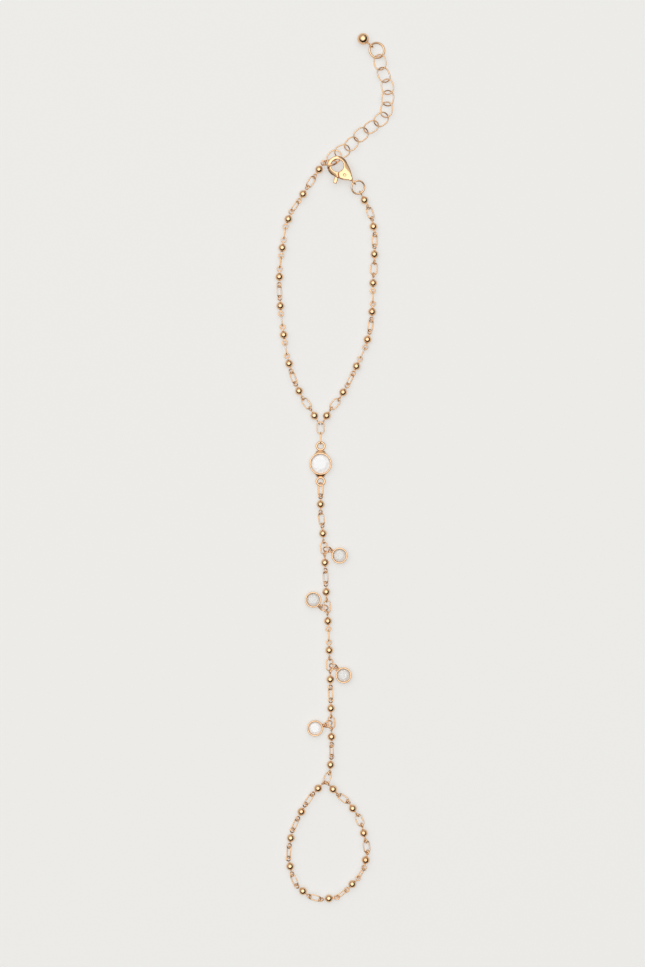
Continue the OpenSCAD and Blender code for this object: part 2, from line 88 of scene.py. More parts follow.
@dataclass(frozen=True)
class Lie:
    """Where a solid lies and how large it is.

    Attributes:
        centre: its middle, in metres in the row frame.
        axes: three unit vectors as rows, the longest direction first and the thinnest last.
        size: its extent along each of the axes, in metres.
        triangles: its surface, as an array of corner points.
    """

    centre: Vector
    axes: np.ndarray
    size: Vector
    triangles: np.ndarray

    @classmethod
    def of(cls, triangles: np.ndarray) -> "Lie":
        """Measures a surface by the spread of its area.

        Args:
            triangles: corner points, shaped (count, 3, 3).

        Returns:
            The measured lie.
        """
        first, second, third = (triangles[:, corner] for corner in range(3))
        area = np.linalg.norm(np.cross(second - first, third - first), axis=1)
        middle = (triangles.mean(1) * area[:, None]).sum(0) / area.sum()
        local = triangles - middle
        total = local.sum(1)
        spread = np.einsum("nki,nkj,n->ij", local, local, area)
        spread += np.einsum("ni,nj,n->ij", total, total, area)
        axes = np.linalg.eigh(spread)[1].T[::-1].copy()
        axes[2] = np.cross(axes[0], axes[1])
        reach = local.reshape(-1, 3) @ axes.T
        low, high = reach.min(0), reach.max(0)
        return cls(Vector(middle + ((low + high) / 2) @ axes), axes, Vector(high - low), triangles)

    @property
    def ahead(self) -> Vector:
        """The long axis."""
        return Vector(self.axes[0])

    @property
    def normal(self) -> Vector:
        """The thin axis."""
        return Vector(self.axes[2])

    @property
    def shape(self) -> Shape:
        """Tells a bead, a pin and a link apart by their proportions.

        Returns:
            What the solid is.
        """
        if self.size[2] > BEAD_ROUNDNESS * self.size[0]:
            return Shape.BEAD
        return Shape.PIN if self.size[0] > PIN_SLIMNESS * self.size[1] else Shape.LINK

    def place(self) -> Matrix:
        """The matrix that lays a piece, modelled along X in the XY plane, where this solid lies."""
        return frame_matrix(self.centre, self.ahead, self.normal)

    def beyond(self, distance: float, side: int) -> "Lie":
        """Measures the part of the surface that lies past a distance along the long axis.

        Args:
            distance: how far from the middle, in metres.
            side: 1 or -1, the way along the long axis.

        Returns:
            The lie of that part.
        """
        along = side * (self.triangles.mean(1) - np.array(self.centre)) @ self.axes[0]
        return Lie.of(self.triangles[along > distance])


def frame_matrix(centre: Vector, ahead: Vector, normal: Vector) -> Matrix:
    """Makes the matrix of a frame whose X is ahead and whose Z is as near to normal as it can be.

    Args:
        centre: the frame's origin.
        ahead: the direction of its X axis.
        normal: the wanted direction of its Z axis.

    Returns:
        A rigid 4 by 4 matrix.
    """
    x = ahead.normalized()
    y = normal.cross(x).normalized()
    z = x.cross(y)
    matrix = Matrix((x, y, z)).transposed().to_4x4()
    matrix.translation = centre
    return matrix


def triangles_of(obj: bpy.types.Object) -> np.ndarray:
    """Reads a mesh object's triangles.

    Args:
        obj: the object, which sits at the origin.

    Returns:
        Their corner points, shaped (count, 3, 3), in the row frame.
    """
    obj.data.calc_loop_triangles()
    corners = np.array([t.vertices[:] for t in obj.data.loop_triangles])
    points = np.array([v.co[:] for v in obj.data.vertices])
    return points[corners]


class Bench:
    """The jeweller's bench: the few steps by which every mesh here is shaped."""

    @staticmethod
    def clear() -> None:
        """Leaves edit mode and deselects everything."""
        if bpy.context.object and bpy.context.object.mode != "OBJECT":
            bpy.ops.object.mode_set(mode="OBJECT")
        bpy.ops.object.select_all(action="DESELECT")

    @staticmethod
    def hold(obj: bpy.types.Object) -> None:
        """Makes one object the active and only selected one.

        Args:
            obj: that object.
        """
        Bench.clear()
        obj.select_set(True)
        bpy.context.view_layer.objects.active = obj

    @staticmethod
    def pick(obj: bpy.types.Object, wanted: Callable[[Vector], bool],
             kind: Element = Element.VERTEX) -> None:
        """Enters edit mode with the elements selected whose middle passes a test.

        Args:
            obj: the mesh object.
            wanted: the test on a vertex's place, or on an edge's or face's middle.
            kind: what is selected.
        """
        Bench.hold(obj)
        bpy.ops.object.mode_set(mode="EDIT")
        bpy.ops.mesh.select_mode(type=kind.value)
        bpy.ops.mesh.select_all(action="DESELECT")
        bpy.ops.object.mode_set(mode="OBJECT")
        mesh = obj.data
        if kind is Element.VERTEX:
            for vertex in mesh.vertices:
                vertex.select = wanted(vertex.co)
        elif kind is Element.EDGE:
            for edge in mesh.edges:
                start, end = (mesh.vertices[i].co for i in edge.vertices)
                edge.select = wanted((start + end) / 2)
        else:
            for face in mesh.polygons:
                face.select = wanted(face.center)
        bpy.ops.object.mode_set(mode="EDIT")

    @staticmethod
    def take(name: str, smooth_angle: float = 50) -> bpy.types.Object:
        """Ends the work on the active object and names it.

        Args:
            name: the object's name.
            smooth_angle: edges that turn by less than this, in degrees, are shaded smooth.

        Returns:
            The object, with its place in its mesh and its faces pointing outwards.
        """
        obj = bpy.context.object
        Bench.hold(obj)
        bpy.ops.object.transform_apply(location=True, rotation=True, scale=True)
        bpy.ops.object.mode_set(mode="EDIT")
        bpy.ops.mesh.select_mode(type="VERT")
        bpy.ops.mesh.select_all(action="SELECT")
        bpy.ops.mesh.remove_doubles(threshold=2 * HAIR)
        bpy.ops.mesh.normals_make_consistent(inside=False)
        bpy.ops.object.mode_set(mode="OBJECT")
        bpy.ops.object.shade_smooth_by_angle(angle=math.radians(smooth_angle))
        obj.name = name
        return obj

    @staticmethod
    def finish_with(obj: bpy.types.Object, kind: str, **settings: object) -> None:
        """Adds a modifier and applies it.

        Args:
            obj: the mesh object.
            kind: the modifier's type name.
            **settings: its settings by name.
        """
        Bench.hold(obj)
        modifier = obj.modifiers.new(kind.title(), kind)
        for key, value in settings.items():
            setattr(modifier, key, value)
        bpy.ops.object.modifier_apply(modifier=modifier.name)

    @staticmethod
    def bore(obj: bpy.types.Object, radius: float, depth: float, at: Vector, sides: int = 64) -> None:
        """Cuts a round hole or groove along Z.

        Args:
            obj: the mesh object.
            radius: the hole's radius.
            depth: its depth, half above its middle and half below.
            at: its middle.
            sides: how many sides it has.
        """
        Bench.clear()
        bpy.ops.mesh.primitive_cylinder_add(vertices=sides, radius=radius, depth=depth, location=at)
        cutter = bpy.context.object
        bpy.ops.object.transform_apply(location=True)
        Bench.finish_with(obj, "BOOLEAN", object=cutter, operation="DIFFERENCE", solver="EXACT")
        Bench.discard([cutter])

    @staticmethod
    def copy(obj: bpy.types.Object, matrix: Matrix) -> bpy.types.Object:
        """Copies an object with its own mesh.

        Args:
            obj: the object.
            matrix: what the copy's mesh is moved by.

        Returns:
            The copy.
        """
        made = obj.copy()
        made.data = obj.data.copy()
        made.data.transform(matrix)
        bpy.context.scene.collection.objects.link(made)
        return made

    @staticmethod
    def join(parts: Sequence[bpy.types.Object], name: str) -> bpy.types.Object:
        """Joins several objects.

        Args:
            parts: the objects.
            name: the name of the joined one.

        Returns:
            The joined object.
        """
        Bench.clear()
        for part in parts:
            part.select_set(True)
        bpy.context.view_layer.objects.active = parts[0]
        bpy.ops.object.join()
        made = bpy.context.object
        made.name = name
        return made

    @staticmethod
    def discard(objects: Iterable[bpy.types.Object]) -> None:
        """Removes patterns and other helpers with their meshes.

        Args:
            objects: the helpers.
        """
        for obj in list(objects):
            mesh = obj.data
            bpy.data.objects.remove(obj)
            bpy.data.meshes.remove(mesh)


@dataclass(frozen=True)
class CadNode:
    """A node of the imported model, which is measured and copied and never changed."""

    name: str

    def triangles(self) -> np.ndarray:
        """The corner points of its triangles, in the row frame."""
        return triangles_of(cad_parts[self.name])

    def lie(self) -> Lie:
        """The lie of a node that is one solid."""
        return Lie.of(self.triangles())

    def ring_place(self) -> Matrix:
        """Finds where its ring lies.

        Returns:
            The matrix that lays a ring there that is modelled in the XY plane, with its seam towards Y.
        """
        lie = self.lie()
        across = Vector((0, 1, 0)) - lie.normal * lie.normal.y
        return frame_matrix(lie.centre, across, lie.normal)

    def free_copy(self) -> bpy.types.Object:
        """Copies it as an object that rides on nothing.

        Returns:
            The copy, without the frame's marks.
        """
        made = Bench.copy(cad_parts[self.name], Matrix.Identity(4))
        made.parent = None
        for key in [k for k in made.keys() if k.startswith("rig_")]:
            del made[key]
        return made

    def loose_lies(self) -> list[Lie]:
        """Takes a copy apart and measures each loose solid.

        Returns:
            Their lies, from the lowest Y to the highest.
        """
        Bench.hold(self.free_copy())
        bpy.ops.object.mode_set(mode="EDIT")
        bpy.ops.mesh.select_all(action="SELECT")
        bpy.ops.mesh.remove_doubles(threshold=HAIR)
        bpy.ops.mesh.separate(type="LOOSE")
        bpy.ops.object.mode_set(mode="OBJECT")
        loose = list(bpy.context.selected_objects)
        found = [Lie.of(triangles_of(obj)) for obj in loose]
        Bench.discard(loose)
        return sorted(found, key=lambda lie: lie.centre.y)


def linear(hex_colour: str) -> tuple[float, float, float, float]:
    """Turns an sRGB colour into a linear one.

    Args:
        hex_colour: its hex value, such as #E8C08A.

    Returns:
        Red, green, blue and an alpha of 1.
    """
    parts = [int(hex_colour[i:i + 2], 16) / 255 for i in (1, 3, 5)]
    red, green, blue = (p / 12.92 if p <= 0.04045 else ((p + 0.055) / 1.055) ** 2.4 for p in parts)
    return red, green, blue, 1.0


def add_node(owner: bpy.types.Material | bpy.types.World, kind: str,
             settings: dict[str, object] | None = None,
             links: dict[str, bpy.types.NodeSocket] | None = None) -> bpy.types.Node:
    """Adds a shader node to a material or to the world.

    Args:
        owner: the material or world that gets it.
        kind: the node's type name.
        settings: values by name, for the node's own properties and else for its input sockets.
        links: output sockets by the name of the input that they feed.

    Returns:
        The new node.
    """
    node = owner.node_tree.nodes.new(kind)
    for key, value in (settings or {}).items():
        if hasattr(node, key):
            setattr(node, key, value)
        else:
            node.inputs[key].default_value = value
    for key, socket in (links or {}).items():
        owner.node_tree.links.new(socket, node.inputs[key])
    return node


def blank_material(name: str) -> bpy.types.Material:
    """Makes a material with an empty node tree.

    Args:
        name: its name.

    Returns:
        The material.
    """
    material = bpy.data.materials.new(name)
    material.use_nodes = True
    material.node_tree.nodes.clear()
    return material


@dataclass(frozen=True)
class PolishedGoldPlate:
    """Electroplated gold over brass, polished: mirror-like, with the faint haze of a rouge-cloth finish.

    The plate is warm and a little rosy. Its colour drifts slightly along a chain, and fine polishing
    marks, 0.05 mm apart on the real piece and drawn at 0.2 mm, spread the highlights a little.
    """

    name: str = "polished_gold_plate"
    light: str = "#F2CFA7"
    deep: str = "#DFB287"
    roughness: tuple[float, float] = (0.1, 0.2)
    drift_mm: float = 6.0
    polish_mm: float = 0.2
    polish_depth: float = 0.03

    def build(self) -> bpy.types.Material:
        """Makes the material.

        Returns:
            The gold plate.
        """
        material = blank_material(self.name)
        place = add_node(material, "ShaderNodeTexCoord").outputs["Object"]
        drift = add_node(material, "ShaderNodeTexNoise",
                         {"Scale": 1 / (self.drift_mm * MM), "Detail": 3.0, "Roughness": 0.5},
                         {"Vector": place})
        polish = add_node(material, "ShaderNodeTexNoise",
                          {"Scale": 1 / (self.polish_mm * MM), "Detail": 4.0, "Roughness": 0.6},
                          {"Vector": place})
        colour = add_node(material, "ShaderNodeMix", {"data_type": "RGBA"})
        colour.inputs[6].default_value = linear(self.deep)
        colour.inputs[7].default_value = linear(self.light)
        material.node_tree.links.new(drift.outputs["Fac"], colour.inputs[0])
        haze = add_node(material, "ShaderNodeMapRange",
                        {"To Min": self.roughness[0], "To Max": self.roughness[1]},
                        {"Value": polish.outputs["Fac"]})
        bump = add_node(material, "ShaderNodeBump", {"Strength": self.polish_depth, "Distance": 0.01 * MM},
                        {"Height": polish.outputs["Fac"]})
        shader = add_node(material, "ShaderNodeBsdfPrincipled", {"Metallic": 1.0},
                          {"Base Color": colour.outputs[2], "Roughness": haze.outputs["Result"],
                           "Normal": bump.outputs["Normal"]})
        add_node(material, "ShaderNodeOutputMaterial", links={"Surface": shader.outputs["BSDF"]})
        return material


@dataclass(frozen=True)
class CutCrystal:
    """Machine-cut crystal glass: colourless, mirror-smooth facets whose roughness varies faintly.

    Its body is painted white, a painted stand-in for the light that the facets reflect and that passes
    through the stone onto the paper. A stone that lies square to the light looks white all over, so more of
    its body is painted white.
    """

    name: str
    # share of the body painted white: painted light standing in for the light the stone reflects and lets
    # through
    painted_light_share: float
    colour: str = "#FCFDFF"
    roughness: tuple[float, float] = (0.0, 0.05)
    haze_mm: float = 0.6
    ior: float = 1.54

    def build(self) -> bpy.types.Material:
        """Makes the material.

        Returns:
            The crystal.
        """
        material = blank_material(self.name)
        place = add_node(material, "ShaderNodeTexCoord").outputs["Object"]
        haze = add_node(material, "ShaderNodeTexNoise",
                        {"Scale": 1 / (self.haze_mm * MM), "Detail": 2.0}, {"Vector": place})
        rough = add_node(material, "ShaderNodeMapRange",
                         {"To Min": self.roughness[0], "To Max": self.roughness[1]},
                         {"Value": haze.outputs["Fac"]})
        # the share that lets no light through is a painted white body, a painted reflection and passing
        # light
        shader = add_node(material, "ShaderNodeBsdfPrincipled",
                          {"Base Color": linear(self.colour), "Transmission Weight": 1 - self.painted_light_share,
                           "IOR": self.ior},
                          {"Roughness": rough.outputs["Result"]})
        add_node(material, "ShaderNodeOutputMaterial", links={"Surface": shader.outputs["BSDF"]})
        return material


@dataclass(frozen=True)
class StudioPaper:
    """Matt background paper, warm pale grey, lit from below as well, so that hardly a shadow shows."""

    name: str = "background_paper"
    colour: str = "#ABAAA8"
    glow: float = 0.46
    glow_colour: str = "#FFFFFD"
    grain_mm: float = 0.8

    def build(self) -> bpy.types.Material:
        """Makes the material.

        Returns:
            The paper.
        """
        material = blank_material(self.name)
        place = add_node(material, "ShaderNodeTexCoord").outputs["Object"]
        grain = add_node(material, "ShaderNodeTexNoise",
                         {"Scale": 1 / (self.grain_mm * MM), "Detail": 2.0}, {"Vector": place})
        bump = add_node(material, "ShaderNodeBump", {"Strength": 0.02, "Distance": 0.02 * MM},
                        {"Height": grain.outputs["Fac"]})
        shader = add_node(material, "ShaderNodeBsdfPrincipled",
                          {"Base Color": linear(self.colour), "Roughness": 0.9, "Specular IOR Level": 0.1,
                           "Emission Color": linear(self.glow_colour), "Emission Strength": self.glow},
                          {"Normal": bump.outputs["Normal"]})
        add_node(material, "ShaderNodeOutputMaterial", links={"Surface": shader.outputs["BSDF"]})
        return material


class Finishes:
    """All the finishes of the object, each made once."""

    def __init__(self) -> None:
        """Builds the materials."""
        self.gold = PolishedGoldPlate().build()
        # both crystals have a body painted white for the light the stone reflects and lets through; the
        # white one, for stones that lie square to the light, has more of this painted reflection
        self.clear = CutCrystal("clear_crystal", painted_light_share=0.8, colour="#F6F5F3").build()
        self.white = CutCrystal("crystal_painted_white_reflection", painted_light_share=0.97).build()
        self.paper = StudioPaper().build()

    @staticmethod
    def dress(obj: bpy.types.Object, material: bpy.types.Material) -> None:
        """Gives an object one material and no other."""
        obj.data.materials.clear()
        obj.data.materials.append(material)

    def gild(self, piece: bpy.types.Object, node: str, body: Body = Body.BRACELET) -> None:
        """Ends a piece of metal: its plate, the CAD node that it stands for and the body that it rides on.

        Args:
            piece: the piece.
            node: the CAD node that it replaces.
            body: the CAD body that carries it.
        """
        self.dress(piece, self.gold)
        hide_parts(node)
        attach(piece, body.value)
        LOG.info("%s: %d faces, stands for %s", piece.name, len(piece.data.polygons), node)


@dataclass(frozen=True)
class Wire:
    """A round wire that is bent into rings and links. Lengths are in metres.

    Attributes:
        thick: the wire's diameter.
        sides: how many sides its section has.
        seam: the gap that stays between the wire's two ends.
    """

    thick: float
    sides: int = 10
    seam: float = 0.03 * MM

    def start(self, at: Vector, turn: tuple[float, float, float]) -> None:
        """Adds the wire's round section and enters edit mode with it selected.

        Args:
            at: the section's middle.
            turn: its rotation, from lying in the XY plane.
        """
        Bench.clear()
        bpy.ops.mesh.primitive_circle_add(vertices=self.sides, radius=self.thick / 2, location=at,
                                          rotation=turn)
        bpy.ops.object.transform_apply(location=True, rotation=True, scale=True)
        bpy.ops.object.mode_set(mode="EDIT")
        bpy.ops.mesh.select_all(action="SELECT")

    def close_ends(self) -> None:
        """Fills the open ends of the bent wire."""
        bpy.ops.mesh.select_all(action="SELECT")
        bpy.ops.mesh.fill_holes(sides=self.sides)

    def ring(self, outer: float, steps: int, name: str, soldered: bool = False) -> bpy.types.Object:
        """Bends the wire into a ring in the XY plane, about the origin.

        Args:
            outer: the ring's outer diameter.
            steps: how many stretches the ring has.
            name: the object's name.
            soldered: True if its ends are soldered into one.

        Returns:
            The ring.
        """
        radius = (outer - self.thick) / 2
        turn = 2 * math.pi - (0 if soldered else self.seam / radius)
        self.start(Vector((radius, 0, 0)), (math.pi / 2, 0, 0))
        bpy.ops.mesh.spin(steps=steps, angle=turn, center=(0, 0, 0), axis=(0, 0, 1))
        if not soldered:
            self.close_ends()
        return Bench.take(name)

    def oval(self, length: float, width: float, steps: int, name: str) -> bpy.types.Object:
        """Bends the wire into an oval link in the XY plane, long along X, its seam on a straight side.

        Args:
            length: the link's outer length.
            width: the link's outer width.
            steps: how many stretches each bow has.
            name: the object's name.

        Returns:
            The link.
        """
        radius = (width - self.thick) / 2
        half = (length - width) / 2
        self.start(Vector((self.seam / 2, radius, 0)), (0, math.pi / 2, 0))
        for side, run in ((1, half - self.seam / 2), (-1, 2 * half)):
            bpy.ops.mesh.extrude_region_move(TRANSFORM_OT_translate={"value": (side * run, 0, 0)})
            bpy.ops.mesh.spin(steps=steps, angle=math.pi, center=(side * half, 0, 0), axis=(0, 0, 1))
        bpy.ops.mesh.extrude_region_move(TRANSFORM_OT_translate={"value": (half - self.seam / 2, 0, 0)})
        self.close_ends()
        return Bench.take(name)

    def pin(self, reach: float, name: str) -> bpy.types.Object:
        """Cuts a straight stretch of wire along X, with rounded ends.

        Args:
            reach: how far it goes each way from the origin.
            name: the object's name.

        Returns:
            The stretch of wire.
        """
        Bench.clear()
        bpy.ops.mesh.primitive_cylinder_add(vertices=self.sides, radius=self.thick / 2, depth=2 * reach,
                                            rotation=(0, math.pi / 2, 0))
        bpy.ops.object.transform_apply(rotation=True)
        Bench.pick(bpy.context.object, lambda p: abs(p.x) > reach - HAIR, Element.FACE)
        bpy.ops.mesh.inset(thickness=0.25 * self.thick, depth=0.1 * self.thick)
        return Bench.take(name)


@dataclass
class Bead:
    """A round bead, turned from solid metal, with a bore along X and a fine lip round each end of it.

    Attributes:
        diameter: the bead's diameter.
        bore: the bore's diameter.
        lip: how wide a lip is.
        profile_points: how many points a full circle of the bead's outline has.
        around: how many stretches it has round the bore.
    """

    diameter: float = 2.4 * MM
    bore: float = 0.6 * MM
    lip: float = 0.1 * MM
    profile_points: int = 36
    around: int = 28

    def build(self) -> bpy.types.Object:
        """Turns the bead: half its outline, with the lips and the bore, is spun about the bore.

        Returns:
            The bead, about the origin.
        """
        radius, inner = self.diameter / 2, self.bore / 2
        lip_outer, lip_inner = inner + 1.2 * self.lip, inner + 0.3 * self.lip
        lip_face, bore_start = 0.985 * radius, 0.95 * radius
        Bench.clear()
        bpy.ops.mesh.primitive_circle_add(vertices=self.profile_points, radius=radius,
                                          rotation=(math.pi / 2, 0, 0))
        bpy.ops.object.transform_apply(rotation=True)
        outline = bpy.context.object
        Bench.pick(outline, lambda p: p.z < lip_outer)
        bpy.ops.mesh.delete(type="VERT")
        for side in (-1, 1):
            Bench.hold(outline)
            points = [v.co for v in outline.data.vertices]
            end = max(points, key=lambda p, s=side: (s * p.x, -p.z)).copy()
            for x, z in ((lip_face, lip_outer), (lip_face, lip_inner), (bore_start, inner)):
                Bench.pick(outline, lambda p, e=end: (p - e).length < HAIR)
                move = (side * x - end.x, 0, z - end.z)
                bpy.ops.mesh.extrude_region_move(TRANSFORM_OT_translate={"value": move})
                end = end + Vector(move)
        Bench.pick(outline, lambda p: p.z < inner + HAIR)
        bpy.ops.mesh.edge_face_add()
        bpy.ops.mesh.select_all(action="SELECT")
        bpy.ops.mesh.spin(steps=self.around, angle=2 * math.pi, center=(0, 0, 0), axis=(1, 0, 0))
        return Bench.take("bead", smooth_angle=35)


@dataclass
class BeadStrand:
    """A strand of beads on eye pins that oval links join, as one piece.

    Attributes:
        node: the CAD node with the strand's loose solids.
        name: the piece's name.
        eye: the outer diameter of a pin's eyes.
        eye_wire: the wire of the eyes.
        eye_seam: the gap that stays where an eye closes.
        pin_wire: the wire of a pin inside its bead.
        pin_reach: how far a pin goes each way from its bead's middle.
        link_wire: the wire of the oval links.
        link_length: their outer length.
        link_width: their outer width.
    """

    node: str
    name: str
    eye: float = 1.8 * MM
    eye_wire: float = 0.4 * MM
    eye_seam: float = 0.06 * MM
    pin_wire: float = 0.36 * MM
    pin_reach: float = 1.72 * MM
    link_wire: float = 0.38 * MM
    link_length: float = 4 * MM
    link_width: float = 2.4 * MM

    def build(self, finishes: Finishes, patterns: "Patterns") -> None:
        """Lays a copy of each pattern where its solid lies, and joins them.

        Args:
            finishes: the object's finishes.
            patterns: the beads, pins, eyes and links that are copied.
        """
        lies = CadNode(self.node).loose_lies()
        pins = [lie for lie in lies if lie.shape is Shape.PIN]
        parts = []
        for lie in lies:
            if lie.shape is Shape.BEAD:
                pin = min(pins, key=lambda p, c=lie.centre: (p.centre - c).length)
                place = frame_matrix(lie.centre, pin.ahead, Vector((0, 0, 1)))
                parts.append(Bench.copy(patterns.bead, place))
            elif lie.shape is Shape.PIN:
                parts.extend(self.pin_with_eyes(lie, patterns))
            else:
                parts.append(Bench.copy(patterns.link, lie.place()))
        finishes.gild(Bench.join(parts, self.name), self.node)

    def pin_with_eyes(self, lie: Lie, patterns: "Patterns") -> list[bpy.types.Object]:
        """Lays a pin and turns an eye at each end of it as the solid's eye is turned.

        Args:
            lie: the lie of the pin with its eyes.
            patterns: the patterns that are copied.

        Returns:
            The three copies.
        """
        reach = (lie.size[0] - self.eye) / 2
        parts = [Bench.copy(patterns.pin, lie.place())]
        for side in (-1, 1):
            normal = lie.beyond(reach - self.eye / 2 + self.eye_wire, side).normal
            at = lie.centre + side * reach * lie.ahead
            parts.append(Bench.copy(patterns.eye, frame_matrix(at, -side * lie.ahead, normal)))
        return parts


@dataclass
class Patterns:
    """The pieces that repeat along the chains, each modelled once about the origin."""

    bead: bpy.types.Object
    pin: bpy.types.Object
    eye: bpy.types.Object
    link: bpy.types.Object

    @classmethod
    def build(cls) -> "Patterns":
        """Models the patterns in the sizes that every strand has.

        Returns:
            The bead, its pin, the pin's eye and the oval link.
        """
        sizes = BeadStrand
        return cls(
            bead=Bead().build(),
            pin=Wire(sizes.pin_wire).pin(sizes.pin_reach, "pin"),
            eye=Wire(sizes.eye_wire, seam=sizes.eye_seam).ring(sizes.eye, steps=26, name="eye"),
            link=Wire(sizes.link_wire).oval(sizes.link_length, sizes.link_width, steps=14, name="link"),
        )

    def discard(self) -> None:
        """Removes the patterns once their copies are made."""
        Bench.discard([self.bead, self.pin, self.eye, self.link])


@dataclass
class SingleRings:
    """The rings and links that are solids by themselves.

    Attributes:
        jump: outer diameter and wire of the clasp's ring and of the end ring.
        tail: outer diameter and wire of the ring that holds the end ball.
        drop: outer diameter and wire of the rings that hold the drops.
        narrow: length, width and wire of the oval ring below the connector.
    """

    jump: tuple[float, float] = (4.5 * MM, 0.56 * MM)
    tail: tuple[float, float] = (5.2 * MM, 0.66 * MM)
    drop: tuple[float, float] = (2.9 * MM, 0.44 * MM)
    narrow: tuple[float, float, float] = (4.5 * MM, 2.6 * MM, 0.44 * MM)

    def build(self, finishes: Finishes, patterns: Patterns) -> None:
        """Builds each ring where its CAD node lies.

        Args:
            finishes: the object's finishes.
            patterns: the oval link that the single links copy.
        """
        for node in ("junction_link", "upper_link", "finger_link"):
            link = Bench.copy(patterns.link, CadNode(node).lie().place())
            link.name = "oval_" + node
            finishes.gild(link, node)
        length, width, wire = self.narrow
        narrow = Wire(wire, sides=12).oval(length, width, steps=16, name="narrow_jump_ring")
        narrow.data.transform(CadNode("narrow_ring").lie().place())
        finishes.gild(narrow, "narrow_ring")
        rings = {"clasp_ring": self.jump, "end_ring": self.jump, "tail_ring": self.tail}
        rings |= {f"drop_ring_{number}": self.drop for number in DROPS}
        for node, (outer, wire) in rings.items():
            ring = Wire(wire, sides=14).ring(outer, steps=48, name="open_" + node)
            ring.data.transform(CadNode(node).ring_place())
            finishes.gild(ring, node)


@dataclass
class ExtenderChain:
    """The extender: larger oval links of thin wire, as one piece."""

    length: float = 5 * MM
    width: float = 4.1 * MM
    wire: float = 0.4 * MM

    def build(self, finishes: Finishes) -> None:
        """Lays a copy of one link where each solid lies.

        Args:
            finishes: the object's finishes.
        """
        link = Wire(self.wire, sides=12).oval(self.length, self.width, steps=20, name="link")
        parts = [Bench.copy(link, lie.place()) for lie in CadNode("extender_chain").loose_lies()]
        Bench.discard([link])
        finishes.gild(Bench.join(parts, "extender_links"), "extender_chain")


@dataclass
class ChannelRim:
    """A stone's rim: a band with rounded edges, and a groove inside for the stone's edge.

    Attributes:
        diameter: its outer diameter.
        height: its height.
        wall: its wall.
        edge: the radius of its edges.
        groove_wall: the wall that the groove leaves.
        groove_height: how high the groove is.
        around: how many stretches it has.
    """

    diameter: float
    height: float = 1.8 * MM
    wall: float = 0.44 * MM
    edge: float = 0.2 * MM
    groove_wall: float = 0.22 * MM
    groove_height: float = 0.3 * MM
    around: int = 64

    @property
    def groove_radius(self) -> float:
        """How far the groove reaches from the stone's axis."""
        return self.diameter / 2 - self.groove_wall

    def build(self, at: Vector) -> bpy.types.Object:
        """Spins the band's rounded section about the stone's axis.

        Args:
            at: the rim's middle.

        Returns:
            The rim.
        """
        middle = (self.diameter - self.wall) / 2
        Bench.clear()
        bpy.ops.mesh.primitive_plane_add(size=1, location=(middle, 0, 0), rotation=(math.pi / 2, 0, 0))
        bpy.context.object.scale = (self.wall, self.height, 1)
        bpy.ops.object.transform_apply(location=True, rotation=True, scale=True)
        bpy.ops.object.mode_set(mode="EDIT")
        bpy.ops.mesh.select_all(action="SELECT")
        bpy.ops.mesh.bevel(affect="VERTICES", offset=self.edge, segments=5, offset_type="OFFSET")
        bpy.ops.mesh.select_all(action="SELECT")
        bpy.ops.mesh.delete(type="ONLY_FACE")
        bpy.ops.mesh.select_all(action="SELECT")
        bpy.ops.mesh.spin(steps=self.around, angle=2 * math.pi, center=(0, 0, 0), axis=(0, 0, 1))
        rim = Bench.take("rim")
        Bench.bore(rim, self.groove_radius, self.groove_height, Vector(), sides=self.around)
        rim = Bench.take("rim")
        rim.data.transform(Matrix.Translation(at))
        return rim


